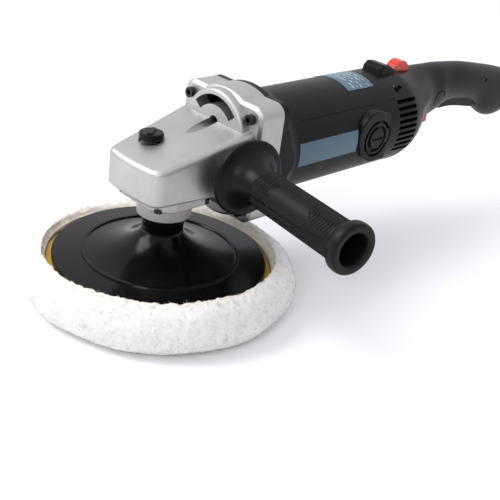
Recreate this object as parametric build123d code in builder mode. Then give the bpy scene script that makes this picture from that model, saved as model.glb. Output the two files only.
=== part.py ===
"""Rotary polisher: angled gear head, motor, tail handle, side handle and lambswool pad.

Every piece is its own solid. Z is the spindle axis and the pad's working face is at z = 0.
The motor axis runs along X towards the rear handle. Lengths are millimetres.
"""

import os
from math import atan2, cos, degrees, pi, radians, sin, sqrt

from build123d import *

os.makedirs("parts", exist_ok=True)

# ---------------------------------------------------------------- driving dimensions
motor_axis_height = 110.25
running_gap = 0.03

# Pad and backing plate, all centred on the spindle
pad_radius = 111
pad_height = 44
backing_bottom = 22
backing_top = 25.5
backing_radius = 90
hook_radius = 85.5
plate_bottom = 27
plate_top = 31.5
plate_radius = 86
plate_hub_radius = 16.5
plate_hub_top = 66
insert_radius = 9.5
insert_bottom = 46
thread_radius = 7

# Bearing cover and lower spindle bearing
collar_radius = 21.6
collar_bottom = 68
cover_bottom = 82
head_bottom = 91
spigot_radius = 27.3
spindle_hole_radius = 12.5
spindle_bearing_bottom = 73
spindle_bearing_width = 11
spindle_bearing_radius = 17.5
spindle_radius = 7.5
cover_screw_sink = 2.4
cover_screw_places = ((-22.5, -19), (-22.5, 23.5), (20.5, -23.5), (20.5, 23.5))

# Gear head
head_front = -37
head_front_half_width = 30.5
flange_front = 50
flange_rear = 75.6
head_rear_half_width = 40.5
head_top_front = 118.8
head_top_slope = 0.2415
gear_cavity_radius = 27.5
gear_cavity_top = 107
pinion_bore_radius = 14
pinion_bore_front = 14
hood_front = 43
hood_centre_rise = 18.75
hood_radius = 33.5
vent_outer_radius = 29
vent_inner_radius = 21
vent_half_angle = 51
flange_radius = 53
flange_half_width = 44.4
flange_half_height = 48.75
flange_corner_radius = 10
flange_screw_y = 34.4
flange_screw_z = 38.75
chamber_radius = 45
chamber_half_width = 40.5

# Bevel gears: straight teeth that narrow towards the point where the axes cross
tooth_module = 1.3
crown_teeth = 38
pinion_teeth = 9
tooth_addendum = 0.7 * tooth_module
tooth_dedendum = 0.95 * tooth_module
tooth_share = 0.38
tooth_flank_angle = radians(20)
face_share = 0.72
crown_pitch_radius = crown_teeth * tooth_module / 2
pinion_pitch_radius = pinion_teeth * tooth_module / 2
cone_length = sqrt(crown_pitch_radius**2 + pinion_pitch_radius**2)

# Spindle lock
lock_x = -4.0
lock_y = 13.2
lock_hole_radius = 2.6
lock_pin_radius = 2.2
lock_pin_bottom = 101.9
lock_head_bottom = 127
lock_head_radius = 9.6
lock_head_x = -7.4
lock_head_y = 13.6
lock_spring_bottom = 117

# Armature bearings
front_bearing_front = 62
front_bearing_width = 10
front_bearing_radius = 16
armature_shaft_radius = 6
rear_bearing_front = 214
rear_bearing_width = 7
rear_bearing_radius = 11
rear_journal_radius = 4

# Motor
barrel_radius = 43.6
barrel_wall = 3.6
motor_front = 75.6
shoulder_end = 84
barrel_start = 97
motor_rear = 217
core_front = 108
core_rear = 160
core_radius = 39.8
core_bore_radius = 22.5
armature_radius = 21.5
commutator_front = 186
commutator_rear = 209.5
commutator_radius = 15
brush_x = 201.3
brush_half_height = 4
brush_half_length = 6
brush_cap_radius = 9.5

# Tail handle sections: distance, half width, lowest and highest point
handle_sections = (
    (252, 43.6, 66.65, 153.85),
    (262, 43.3, 67.2, 153.4),
    (275, 39.5, 70.5, 151.4),
    (287, 33.5, 77.5, 150.6),
    (298, 27.0, 87.0, 150.8),
    (312, 20.5, 94.0, 151.0),
    (330, 17.8, 97.0, 150.8),
    (348, 16.6, 103.0, 149.9),
    (366, 16.0, 107.5, 148.2),
    (396, 16.0, 105.0, 144.5),
    (420, 16.3, 97.5, 140.3),
    (438, 17.0, 86.0, 137.0),
    (456, 17.3, 78.0, 133.3),
    (472, 16.8, 78.0, 129.6),
    (484, 15.0, 84.5, 126.5),
)
handle_wall = 2.6
handle_rear = 484
cavity_rear = 479

# Controls
dial_x = 275
dial_height = 147
dial_radius = 13.5
dial_half_width = 5
lock_on_x = 333.5
lock_on_half_length = 4.5
trigger_pivot_x = 350
trigger_pivot_height = 112
trigger_half_width = 6.5

# Side handle: leans forward from straight across
side_handle_lean = radians(8.9)
side_handle_x = 36.06
side_handle_y = 48.74
side_handle_length = 127
side_flange_radius = 30.75
side_grip_radius = 14.4
side_ring_radius = 19.5
side_hole_radius = 12.4
stud_radius = 4
stud_depth = 15


# ---------------------------------------------------------------- helpers
def across(x):
    """A plane square to the motor axis at x, with Y to the side and Z up from the axis."""
    return Plane(origin=(x, 0, motor_axis_height), x_dir=(0, 1, 0), z_dir=(1, 0, 0))


def side_plane(side, distance):
    """A plane square to a side handle axis, this far out from the boss face; side is -1 or 1."""
    out = Vector(-sin(side_handle_lean), side * cos(side_handle_lean), 0)
    start = Vector(side_handle_x, side * side_handle_y, motor_axis_height) + out * distance
    return Plane(origin=start, x_dir=(0, 0, 1), z_dir=out)


def side_section(side):
    """The flat plane that holds a side handle axis, with X running out along it."""
    out = Vector(-sin(side_handle_lean), side * cos(side_handle_lean), 0)
    start = Vector(side_handle_x, side * side_handle_y, motor_axis_height)
    return Plane(origin=start, x_dir=out, z_dir=(0, 0, 1))


def beside(x, z, y):
    """A plane square to Y at this place, facing away from the tool on the side that y is on."""
    outward = 1 if y > 0 else -1
    return Plane(origin=(x, y, z), x_dir=(1, 0, 0), z_dir=(0, outward, 0))


def tooth_width(height):
    """Thickness of a gear tooth at its large end, this far above the pitch line."""
    return tooth_share * pi * tooth_module - 2 * height * sin(tooth_flank_angle) / cos(tooth_flank_angle)


def bevel_tooth(hand):
    """One straight bevel tooth with flat faces; hand is 1 for the crown gear, -1 for the pinion."""
    along = Vector(crown_pitch_radius, 0, -pinion_pitch_radius) / cone_length
    outward = Vector(pinion_pitch_radius, 0, crown_pitch_radius) / cone_length * hand
    foot = -tooth_dedendum - 0.5
    ends = []
    for share in (1, face_share):
        corners = []
        for height, side in ((foot, -1), (foot, 1), (tooth_addendum, 1), (tooth_addendum, -1)):
            across_tooth = Vector(0, side * tooth_width(height) / 2, 0)
            corners.append((along * cone_length + outward * height + across_tooth) * share)
        ends.append(corners)
    faces = [Face(Wire.make_polygon(ends[0])), Face(Wire.make_polygon(ends[1]))]
    for first in range(4):
        second = (first + 1) % 4
        ring = [ends[0][first], ends[0][second], ends[1][second], ends[1][first]]
        faces.append(Face(Wire.make_polygon(ring)))
    return Solid(Shell(faces))


# ---------------------------------------------------------------- pad and backing plate
with BuildPart() as wool_pad:
    with BuildSketch(Plane.XZ):
        with BuildLine():
            Polyline((91, backing_bottom), (0, backing_bottom), (0, 0), (99, 0))
            Spline((99, 0), (107.5, 6), (pad_radius, 20), (109.5, 32), (104.5, 40.5), (98, pad_height),
                   (93.5, 41.5), (91, 34))
            Line((91, 34), (91, backing_bottom))
        make_face()
    revolve(axis=Axis.Z)
wool_pad.part.label = "wool_pad"
export_step(wool_pad.part, "parts/wool_pad.step")

with BuildPart() as pad_backing:
    with BuildSketch(Plane.XY.offset(backing_bottom)):
        Circle(backing_radius)
        Circle(insert_radius, mode=Mode.SUBTRACT)
    extrude(amount=backing_top - backing_bottom)
pad_backing.part.label = "pad_backing"
export_step(pad_backing.part, "parts/pad_backing.step")

with BuildPart() as hook_layer:
    with BuildSketch(Plane.XY.offset(backing_top)):
        Circle(hook_radius)
        Circle(insert_radius, mode=Mode.SUBTRACT)
    extrude(amount=plate_bottom - backing_top)
hook_layer.part.label = "hook_layer"
export_step(hook_layer.part, "parts/hook_layer.step")

with BuildPart() as backing_plate:
    with BuildSketch(Plane.XZ):
        with BuildLine():
            Polyline((insert_radius, insert_bottom), (insert_radius, plate_hub_top - 0.2),
                     (15.8, plate_hub_top - 0.2), (plate_hub_radius, 65), (plate_hub_radius, 63),
                     (15.3, 62.3), (15.3, 61.3), (plate_hub_radius, 60.6), (plate_hub_radius, 59),
                     (15.3, 58.3), (15.3, 57.3), (plate_hub_radius, 56.6), (plate_hub_radius, 55),
                     (16.9, 53.5))
            Spline((16.9, 53.5), (21, 49), (29, 43.3), (40, 38.4), (52, 35.2), (60, 33.9))
            Polyline((60, 33.9), (60.8, 34.9), (63, 34.9), (63.8, 33.4), (85, plate_top),
                     (plate_radius, 30.6), (plate_radius, plate_bottom), (66, plate_bottom), (58, 29.5),
                     (30, 37), (14, 42), (14, insert_bottom - 3), (insert_radius, insert_bottom - 3),
                     (insert_radius, insert_bottom))
        make_face()
    revolve(axis=Axis.Z)
backing_plate.part.label = "backing_plate"
export_step(backing_plate.part, "parts/backing_plate.step")

with BuildPart() as plate_insert:
    with BuildSketch(Plane.XY.offset(insert_bottom)):
        Circle(insert_radius)
        Circle(thread_radius, mode=Mode.SUBTRACT)
    extrude(amount=plate_hub_top - insert_bottom)
plate_insert.part.label = "plate_insert"
export_step(plate_insert.part, "parts/plate_insert.step")

# ---------------------------------------------------------------- spindle and its bearings
with BuildPart() as spindle_shaft:
    with BuildSketch(Plane.XZ):
        Polygon((0, 47), (6, 47), (thread_radius, 48), (thread_radius, plate_hub_top), (11, plate_hub_top),
                (11, spindle_bearing_bottom), (spindle_radius, spindle_bearing_bottom),
                (spindle_radius, 101.5), (5, 101.5), (5, 116), (0, 116), align=None)
    revolve(axis=Axis.Z)
spindle_shaft.part.label = "spindle_shaft"
export_step(spindle_shaft.part, "parts/spindle_shaft.step")

spindle_bearing_middle = spindle_bearing_bottom + spindle_bearing_width / 2
spindle_ball_circle = 12.5
spindle_ball_radius = 2.9

with BuildPart() as spindle_bearing_inner:
    with BuildSketch(Plane.XZ):
        with Locations(((spindle_radius + 10.5) / 2, spindle_bearing_middle)):
            Rectangle(10.5 - spindle_radius, spindle_bearing_width)
        with Locations((spindle_ball_circle, spindle_bearing_middle)):
            Circle(spindle_ball_radius + running_gap, mode=Mode.SUBTRACT)
    revolve(axis=Axis.Z)
spindle_bearing_inner.part.label = "spindle_bearing_inner"
export_step(spindle_bearing_inner.part, "parts/spindle_bearing_inner.step")

with BuildPart() as spindle_bearing_outer:
    with BuildSketch(Plane.XZ):
        with Locations(((14.5 + spindle_bearing_radius) / 2, spindle_bearing_middle)):
            Rectangle(spindle_bearing_radius - 14.5, spindle_bearing_width)
        with Locations((spindle_ball_circle, spindle_bearing_middle)):
            Circle(spindle_ball_radius + running_gap, mode=Mode.SUBTRACT)
    revolve(axis=Axis.Z)
spindle_bearing_outer.part.label = "spindle_bearing_outer"
export_step(spindle_bearing_outer.part, "parts/spindle_bearing_outer.step")

with BuildPart() as spindle_bearing_balls:
    with Locations((0, 0, spindle_bearing_middle)):
        with PolarLocations(spindle_ball_circle, 9):
            Sphere(spindle_ball_radius)
spindle_bearing_balls.part.label = "spindle_bearing_balls"
export_step(spindle_bearing_balls.part, "parts/spindle_bearing_balls.step")

with BuildPart() as spindle_bush:
    with BuildSketch(Plane.XY.offset(gear_cavity_top)):
        Circle(8)
        Circle(5 + running_gap, mode=Mode.SUBTRACT)
    extrude(amount=10)
spindle_bush.part.label = "spindle_bush"
export_step(spindle_bush.part, "parts/spindle_bush.step")

# The crown gear sits on the spindle with its teeth facing up to the pinion
crown_up_x = pinion_pitch_radius / cone_length
crown_up_z = crown_pitch_radius / cone_length
root_radius = crown_pitch_radius - tooth_dedendum * crown_up_x
root_height = -pinion_pitch_radius - tooth_dedendum * crown_up_z

with BuildPart() as crown_gear:
    with BuildSketch(Plane.XZ.rotated((0, 0, 180 / crown_teeth))):
        Polygon((spindle_radius, 84), (12, 84), (12, 95.5), (25.2, 95.5),
                (25.2, motor_axis_height + root_height * 25.2 / root_radius),
                (root_radius * 0.69, motor_axis_height + root_height * 0.69),
                (16.4, 101), (spindle_radius, 101), align=None)
    revolve(axis=Axis.Z)
    for number in range(crown_teeth):
        add(Pos(0, 0, motor_axis_height) * Rot(0, 0, 360 * number / crown_teeth) * bevel_tooth(1))
    with BuildSketch(Plane.XY.offset(95.5)):
        with PolarLocations(sqrt(lock_x**2 + lock_y**2), 4, start_angle=degrees(atan2(lock_y, lock_x))):
            Circle(lock_hole_radius)
    extrude(amount=10, mode=Mode.SUBTRACT)
crown_gear.part.label = "crown_gear"
export_step(crown_gear.part, "parts/crown_gear.step")

# ---------------------------------------------------------------- bearing cover
with BuildPart() as bearing_cover:
    with BuildSketch(Plane.XY.offset(cover_bottom)):
        Polygon((-28, -16), (-19, -26), (-13, -29), (16, -29), (26, -19), (26, 19), (16, 29),
                (-18, 29), (-28, 21), align=None)
    extrude(amount=head_bottom - cover_bottom)
    fillet(bearing_cover.edges().filter_by(Axis.Z), radius=4)
    chamfer(bearing_cover.faces().sort_by(Axis.Z)[0].edges(), length=0.8)
    with BuildSketch(Plane.XY.offset(collar_bottom)):
        Circle(collar_radius)
    extrude(amount=cover_bottom - collar_bottom)
    chamfer(bearing_cover.faces().sort_by(Axis.Z)[0].edges(), length=1)
    with BuildSketch(Plane.XY.offset(head_bottom)):
        Circle(spigot_radius)
    extrude(amount=3)
    with BuildSketch(Plane.XY.offset(spindle_bearing_bottom)):
        Circle(spindle_bearing_radius)
    extrude(amount=40, mode=Mode.SUBTRACT)
    with BuildSketch(Plane.XY.offset(collar_bottom)):
        Circle(spindle_hole_radius)
    extrude(amount=10, mode=Mode.SUBTRACT)
    with BuildSketch(Plane.XY.offset(cover_bottom)):
        with Locations(*cover_screw_places):
            Circle(2.1)
    extrude(amount=20, mode=Mode.SUBTRACT)
    with BuildSketch(Plane.XY.offset(cover_bottom - 1)):
        with Locations(*cover_screw_places):
            Circle(3.6)
    extrude(amount=1 + cover_screw_sink, mode=Mode.SUBTRACT)
bearing_cover.part.label = "bearing_cover"
export_step(bearing_cover.part, "parts/bearing_cover.step")

with BuildPart() as bearing_cover_screws:
    with BuildSketch(Plane.XY.offset(cover_bottom + cover_screw_sink - 3.2)):
        with Locations(*cover_screw_places):
            Circle(3.4)
    extrude(amount=3.2)
    with BuildSketch(Plane.XY.offset(cover_bottom + cover_screw_sink)):
        with Locations(*cover_screw_places):
            Circle(2)
    extrude(amount=16.6)
    with BuildSketch(Plane.XY.offset(cover_bottom + cover_screw_sink - 3.2)):
        with Locations(*cover_screw_places):
            RegularPolygon(1.8, 6)
    extrude(amount=1.8, mode=Mode.SUBTRACT)
bearing_cover_screws.part.label = "bearing_cover_screws"
export_step(bearing_cover_screws.part, "parts/bearing_cover_screws.step")

# ---------------------------------------------------------------- gear housing
flange_depth = flange_rear - flange_front
hood_middle = (0, hood_centre_rise)
flange_corners = [(y, z) for y in (-flange_screw_y, flange_screw_y)
                  for z in (-flange_screw_z, flange_screw_z)]

# The head and the hood are shaped on their own, then joined into the housing
with BuildPart() as head_block:
    with BuildSketch(Plane.XY.offset(head_bottom)):
        with BuildLine():
            ThreePointArc((head_front + 1, -head_front_half_width), (head_front - 1.5, 0),
                          (head_front + 1, head_front_half_width))
            Polyline((head_front + 1, head_front_half_width), (60, head_rear_half_width),
                     (60, -head_rear_half_width), (head_front + 1, -head_front_half_width))
        make_face()
    extrude(amount=60)
    fillet(head_block.edges().filter_by(Axis.Z).group_by(Axis.X)[0], radius=10)
    with BuildSketch(Plane.XZ):
        Polygon((-80, head_top_front - 43 * head_top_slope), (80, head_top_front + 117 * head_top_slope),
                (80, 200), (-80, 200), align=None)
    extrude(amount=60, both=True, mode=Mode.SUBTRACT)
    fillet(head_block.faces().sort_by(Axis.Z)[-1].edges(), radius=5)
    fillet(head_block.faces().sort_by(Axis.Z)[0].edges(), radius=2)

with BuildPart() as hood_block:
    with BuildSketch(across(hood_front)):
        with Locations(hood_middle):
            Circle(hood_radius)
        with Locations((0, hood_centre_rise - 40)):
            Rectangle(100, 80, mode=Mode.SUBTRACT)
    extrude(amount=20)
    fillet(hood_block.faces().sort_by(Axis.X)[0].edges().sort_by(Axis.Z)[-1], radius=3)

with BuildPart() as gear_housing:
    # Flange to the motor
    with BuildSketch(across(flange_front)):
        Circle(flange_radius)
        Rectangle(2 * flange_half_width, 2 * flange_radius, mode=Mode.INTERSECT)
        RectangleRounded(2 * flange_half_width, 2 * flange_half_height, flange_corner_radius)
    extrude(amount=flange_depth)
    chamfer(gear_housing.faces().sort_by(Axis.X)[0].edges(), length=2.5)
    add(head_block.part)
    add(hood_block.part)
    # Gusset under the head
    with BuildSketch(Plane.XZ):
        Polygon((22, head_bottom + 6), (30, head_bottom), (52, 64), (60, 62), (60, 100), align=None)
    extrude(amount=28, both=True)
    # Bosses for the side handle
    for side in (-1, 1):
        with BuildSketch(side_plane(side, 0)):
            Circle(14)
        extrude(amount=-26)
        with BuildSketch(side_plane(side, -4)):
            Circle(14)
        extrude(amount=-20, taper=-16)
    # Room for the gears, the fan air and the front bearing
    with BuildSketch(Plane.XY.offset(head_bottom)):
        Circle(gear_cavity_radius)
    extrude(amount=gear_cavity_top - head_bottom, mode=Mode.SUBTRACT)
    with BuildSketch(across(pinion_bore_front)):
        Circle(pinion_bore_radius)
    extrude(amount=60, mode=Mode.SUBTRACT)
    with BuildSketch(across(front_bearing_front)):
        Circle(front_bearing_radius)
    extrude(amount=20, mode=Mode.SUBTRACT)
    with BuildSketch(across(flange_front + 6)):
        Circle(chamber_radius)
        Rectangle(2 * chamber_half_width, 2 * chamber_radius, mode=Mode.INTERSECT)
        Circle(20, mode=Mode.SUBTRACT)
        with Locations(*flange_corners):
            Circle(6, mode=Mode.SUBTRACT)
        with Locations((0, 27)):
            Circle(6, mode=Mode.SUBTRACT)
    extrude(amount=flange_depth, mode=Mode.SUBTRACT)
    with BuildSketch(across(flange_front + 22.6)):
        Circle(23)
    extrude(amount=10, mode=Mode.SUBTRACT)
    with BuildSketch(across(hood_front - 1)):
        with Locations(hood_middle):
            Circle(vent_outer_radius)
            Circle(vent_inner_radius, mode=Mode.SUBTRACT)
        vent_reach = 60
        vent_side = vent_reach * sin(radians(vent_half_angle))
        vent_rise = hood_centre_rise + vent_reach * cos(radians(vent_half_angle))
        Polygon((0, hood_centre_rise), (-vent_side, vent_rise), (0, hood_centre_rise + 2 * vent_reach),
                (vent_side, vent_rise),
                align=None, mode=Mode.INTERSECT)
    extrude(amount=20, mode=Mode.SUBTRACT)
    # Seat of the bush, the screws, the lock button and the side handles
    with BuildSketch(Plane.XY.offset(gear_cavity_top)):
        Circle(8)
    extrude(amount=10, mode=Mode.SUBTRACT)
    with BuildSketch(across(10)):
        with Locations((0, 26.2)):
            Circle(5)
    extrude(amount=flange_front - 10, mode=Mode.SUBTRACT)
    with BuildSketch(across(flange_front - 8)):
        with Locations((0, 27), *flange_corners):
            Circle(2.6)
    extrude(amount=40, mode=Mode.SUBTRACT)
    with BuildSketch(Plane.XY.offset(head_bottom)):
        with Locations(*cover_screw_places):
            Circle(2)
    extrude(amount=12, mode=Mode.SUBTRACT)
    with BuildSketch(Plane.XY.offset(gear_cavity_top - 1)):
        with Locations((lock_x, lock_y)):
            Circle(lock_pin_radius + running_gap)
    extrude(amount=20, mode=Mode.SUBTRACT)
    with BuildSketch(Plane.XY.offset(lock_spring_bottom)):
        with Locations((lock_x, lock_y)):
            Circle(5.4)
    extrude(amount=20, mode=Mode.SUBTRACT)
    with BuildSketch(Plane.XY.offset(lock_head_bottom - 4.2)):
        with Locations((lock_head_x, lock_head_y)):
            Circle(lock_head_radius + 0.1)
    extrude(amount=20, mode=Mode.SUBTRACT)
    for side in (-1, 1):
        with BuildSketch(side_plane(side, 0)):
            Circle(stud_radius)
        extrude(amount=-stud_depth - 1, mode=Mode.SUBTRACT)
gear_housing.part.label = "gear_housing"
export_step(gear_housing.part, "parts/gear_housing.step")

with BuildPart() as gear_housing_screws:
    with BuildSketch(across(flange_front - 4.5)):
        with Locations((0, 27), *flange_corners):
            Circle(4.2)
    extrude(amount=4.5)
    with BuildSketch(across(flange_front)):
        with Locations(*flange_corners):
            Circle(2.4)
    extrude(amount=33)
    # The middle screw stops short of the fan
    with BuildSketch(across(flange_front)):
        with Locations((0, 27)):
            Circle(2.4)
    extrude(amount=27)
    with BuildSketch(across(flange_front - 4.5)):
        with Locations((0, 27), *flange_corners):
            RegularPolygon(2.3, 6)
    extrude(amount=2.6, mode=Mode.SUBTRACT)
gear_housing_screws.part.label = "gear_housing_screws"
export_step(gear_housing_screws.part, "parts/gear_housing_screws.step")

# ---------------------------------------------------------------- spindle lock
with BuildPart() as lock_button:
    with BuildSketch(Plane.XY.offset(lock_pin_bottom)):
        with Locations((lock_x, lock_y)):
            Circle(lock_pin_radius)
    extrude(amount=lock_head_bottom + 1 - lock_pin_bottom)
    with BuildSketch(Plane.XY.offset(lock_head_bottom)):
        with Locations((lock_head_x, lock_head_y)):
            Circle(lock_head_radius)
    extrude(amount=5)
    fillet(lock_button.faces().sort_by(Axis.Z)[-1].edges(), radius=1.5)
    with BuildSketch(Plane.XY.offset(lock_head_bottom + 5)):
        with Locations((lock_head_x, lock_head_y)):
            SlotOverall(14, 4.4, rotation=35)
    extrude(amount=1)
lock_button.part.label = "lock_button"
export_step(lock_button.part, "parts/lock_button.step")

with BuildPart() as lock_spring:
    with BuildLine(Plane.XY.offset(lock_spring_bottom + 0.4)) as lock_coil:
        Helix(pitch=2.2, height=9.0, radius=3.9)
    with BuildSketch(Plane(origin=lock_coil.line @ 0, z_dir=lock_coil.line % 0)):
        Circle(0.35)
    sweep(path=lock_coil.line, is_frenet=True)
lock_spring.part = lock_spring.part.moved(Location((lock_x, lock_y, 0)))
lock_spring.part.label = "lock_spring"
export_step(lock_spring.part, "parts/lock_spring.step")

# ---------------------------------------------------------------- armature
with BuildPart() as armature_shaft:
    with BuildSketch(Plane.XZ.offset(0)):
        Polygon((28, motor_axis_height), (28, motor_axis_height + 3), (42, motor_axis_height + 3),
                (42, motor_axis_height + armature_shaft_radius),
                (rear_bearing_front, motor_axis_height + armature_shaft_radius),
                (rear_bearing_front, motor_axis_height + rear_journal_radius),
                (223, motor_axis_height + rear_journal_radius), (223, motor_axis_height), align=None)
    revolve(axis=Axis((0, 0, motor_axis_height), (1, 0, 0)))
armature_shaft.part.label = "armature_shaft"
export_step(armature_shaft.part, "parts/armature_shaft.step")

pinion_root_out = crown_pitch_radius + tooth_dedendum * crown_up_x
pinion_root_rise = pinion_pitch_radius - tooth_dedendum * crown_up_z
with BuildPart() as bevel_pinion:
    with BuildSketch(Plane.XZ):
        Polygon((pinion_root_out * face_share, motor_axis_height),
                (pinion_root_out * face_share, motor_axis_height + pinion_root_rise * face_share),
                (pinion_root_out, motor_axis_height + pinion_root_rise),
                (pinion_root_out + 1.6, motor_axis_height + 7), (42, motor_axis_height + 7),
                (42, motor_axis_height + 3), (28, motor_axis_height + 3), (28, motor_axis_height),
                align=None)
    revolve(axis=Axis((0, 0, motor_axis_height), (1, 0, 0)))
    for number in range(pinion_teeth):
        add(Pos(0, 0, motor_axis_height) * Rot(360 * (number + 0.5) / pinion_teeth, 0, 0) * bevel_tooth(-1))
bevel_pinion.part.label = "bevel_pinion"
export_step(bevel_pinion.part, "parts/bevel_pinion.step")

with BuildPart() as armature_core:
    with BuildSketch(across(core_front)):
        Circle(armature_radius)
        Circle(armature_shaft_radius, mode=Mode.SUBTRACT)
        with PolarLocations(15.5, 12):
            Circle(2.6, mode=Mode.SUBTRACT)
        with PolarLocations(19.5, 12):
            Rectangle(5, 1.6, mode=Mode.SUBTRACT)
    extrude(amount=core_rear - core_front)
armature_core.part.label = "armature_core"
export_step(armature_core.part, "parts/armature_core.step")

with BuildPart() as armature_windings:
    with BuildSketch(across(core_front - 10)):
        Circle(19)
        Circle(armature_shaft_radius + 0.5, mode=Mode.SUBTRACT)
    extrude(amount=9.5)
    with BuildSketch(across(core_rear + 0.5)):
        Circle(19)
        Circle(armature_shaft_radius + 0.5, mode=Mode.SUBTRACT)
    extrude(amount=12)
    fillet(armature_windings.edges().filter_by(GeomType.CIRCLE).sort_by(SortBy.RADIUS)[-4:], radius=3)
    with BuildSketch(across(core_front - 2)):
        with PolarLocations(15.5, 12):
            Circle(2.3)
    extrude(amount=core_rear - core_front + 4)
armature_windings.part.label = "armature_windings"
export_step(armature_windings.part, "parts/armature_windings.step")

with BuildPart() as commutator:
    with BuildSketch(across(commutator_front)):
        Circle(commutator_radius)
        Circle(armature_shaft_radius, mode=Mode.SUBTRACT)
    extrude(amount=commutator_rear - commutator_front)
    with BuildSketch(across(commutator_front - 6)):
        Circle(16.5)
        Circle(armature_shaft_radius, mode=Mode.SUBTRACT)
    extrude(amount=6)
    with BuildSketch(across(commutator_front)):
        with PolarLocations(commutator_radius, 24):
            Rectangle(1.4, 0.6)
    extrude(amount=commutator_rear - commutator_front, mode=Mode.SUBTRACT)
commutator.part.label = "commutator"
export_step(commutator.part, "parts/commutator.step")

with BuildPart() as cooling_fan:
    with BuildSketch(across(79)):
        Circle(10)
        Circle(armature_shaft_radius, mode=Mode.SUBTRACT)
    extrude(amount=14)
    with BuildSketch(across(91)):
        Circle(37.5)
        Circle(9, mode=Mode.SUBTRACT)
    extrude(amount=2)
    with BuildSketch(across(80)):
        with PolarLocations(25, 11):
            Rectangle(24, 1.6, rotation=18)
    extrude(amount=12)
cooling_fan.part.label = "cooling_fan"
export_step(cooling_fan.part, "parts/cooling_fan.step")

# ---------------------------------------------------------------- armature bearings
front_bearing_middle = front_bearing_front + front_bearing_width / 2
front_ball_circle = 11
front_ball_radius = 2.4

with BuildPart() as front_bearing_inner:
    with BuildSketch(Plane.XZ):
        with Locations((front_bearing_middle, motor_axis_height + (armature_shaft_radius + 9.3) / 2)):
            Rectangle(front_bearing_width, 9.3 - armature_shaft_radius)
        with Locations((front_bearing_middle, motor_axis_height + front_ball_circle)):
            Circle(front_ball_radius + running_gap, mode=Mode.SUBTRACT)
    revolve(axis=Axis((0, 0, motor_axis_height), (1, 0, 0)))
front_bearing_inner.part.label = "front_bearing_inner"
export_step(front_bearing_inner.part, "parts/front_bearing_inner.step")

with BuildPart() as front_bearing_outer:
    with BuildSketch(Plane.XZ):
        with Locations((front_bearing_middle, motor_axis_height + (12.7 + front_bearing_radius) / 2)):
            Rectangle(front_bearing_width, front_bearing_radius - 12.7)
        with Locations((front_bearing_middle, motor_axis_height + front_ball_circle)):
            Circle(front_ball_radius + running_gap, mode=Mode.SUBTRACT)
    revolve(axis=Axis((0, 0, motor_axis_height), (1, 0, 0)))
front_bearing_outer.part.label = "front_bearing_outer"
export_step(front_bearing_outer.part, "parts/front_bearing_outer.step")

with BuildPart() as front_bearing_balls:
    for number in range(9):
        turn = 2 * pi * number / 9
        with Locations((front_bearing_middle, front_ball_circle * cos(turn),
                        motor_axis_height + front_ball_circle * sin(turn))):
            Sphere(front_ball_radius)
front_bearing_balls.part.label = "front_bearing_balls"
export_step(front_bearing_balls.part, "parts/front_bearing_balls.step")

rear_bearing_middle = rear_bearing_front + rear_bearing_width / 2
rear_ball_circle = 7.5
rear_ball_radius = 1.8

with BuildPart() as rear_bearing_inner:
    with BuildSketch(Plane.XZ):
        with Locations((rear_bearing_middle, motor_axis_height + (rear_journal_radius + 6.2) / 2)):
            Rectangle(rear_bearing_width, 6.2 - rear_journal_radius)
        with Locations((rear_bearing_middle, motor_axis_height + rear_ball_circle)):
            Circle(rear_ball_radius + running_gap, mode=Mode.SUBTRACT)
    revolve(axis=Axis((0, 0, motor_axis_height), (1, 0, 0)))
rear_bearing_inner.part.label = "rear_bearing_inner"
export_step(rear_bearing_inner.part, "parts/rear_bearing_inner.step")

with BuildPart() as rear_bearing_outer:
    with BuildSketch(Plane.XZ):
        with Locations((rear_bearing_middle, motor_axis_height + (8.8 + rear_bearing_radius) / 2)):
            Rectangle(rear_bearing_width, rear_bearing_radius - 8.8)
        with Locations((rear_bearing_middle, motor_axis_height + rear_ball_circle)):
            Circle(rear_ball_radius + running_gap, mode=Mode.SUBTRACT)
    revolve(axis=Axis((0, 0, motor_axis_height), (1, 0, 0)))
rear_bearing_outer.part.label = "rear_bearing_outer"
export_step(rear_bearing_outer.part, "parts/rear_bearing_outer.step")

with BuildPart() as rear_bearing_balls:
    for number in range(8):
        turn = 2 * pi * number / 8
        with Locations((rear_bearing_middle, rear_ball_circle * cos(turn),
                        motor_axis_height + rear_ball_circle * sin(turn))):
            Sphere(rear_ball_radius)
rear_bearing_balls.part.label = "rear_bearing_balls"
export_step(rear_bearing_balls.part, "parts/rear_bearing_balls.step")

with BuildPart() as gear_plate:
    with BuildSketch(across(flange_rear - 2.8)):
        Circle(chamber_radius - 0.2)
        Rectangle(2 * chamber_half_width - 0.4, 2 * chamber_radius, mode=Mode.INTERSECT)
        Circle(12.5, mode=Mode.SUBTRACT)
        with Locations(*flange_corners):
            Circle(6.2, mode=Mode.SUBTRACT)
        with Locations((0, 27)):
            Circle(6.2, mode=Mode.SUBTRACT)
        with PolarLocations(32, 6, start_angle=30):
            SlotOverall(18, 7, rotation=90, mode=Mode.SUBTRACT)
    extrude(amount=2.7)
gear_plate.part.label = "gear_plate"
export_step(gear_plate.part, "parts/gear_plate.step")

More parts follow.
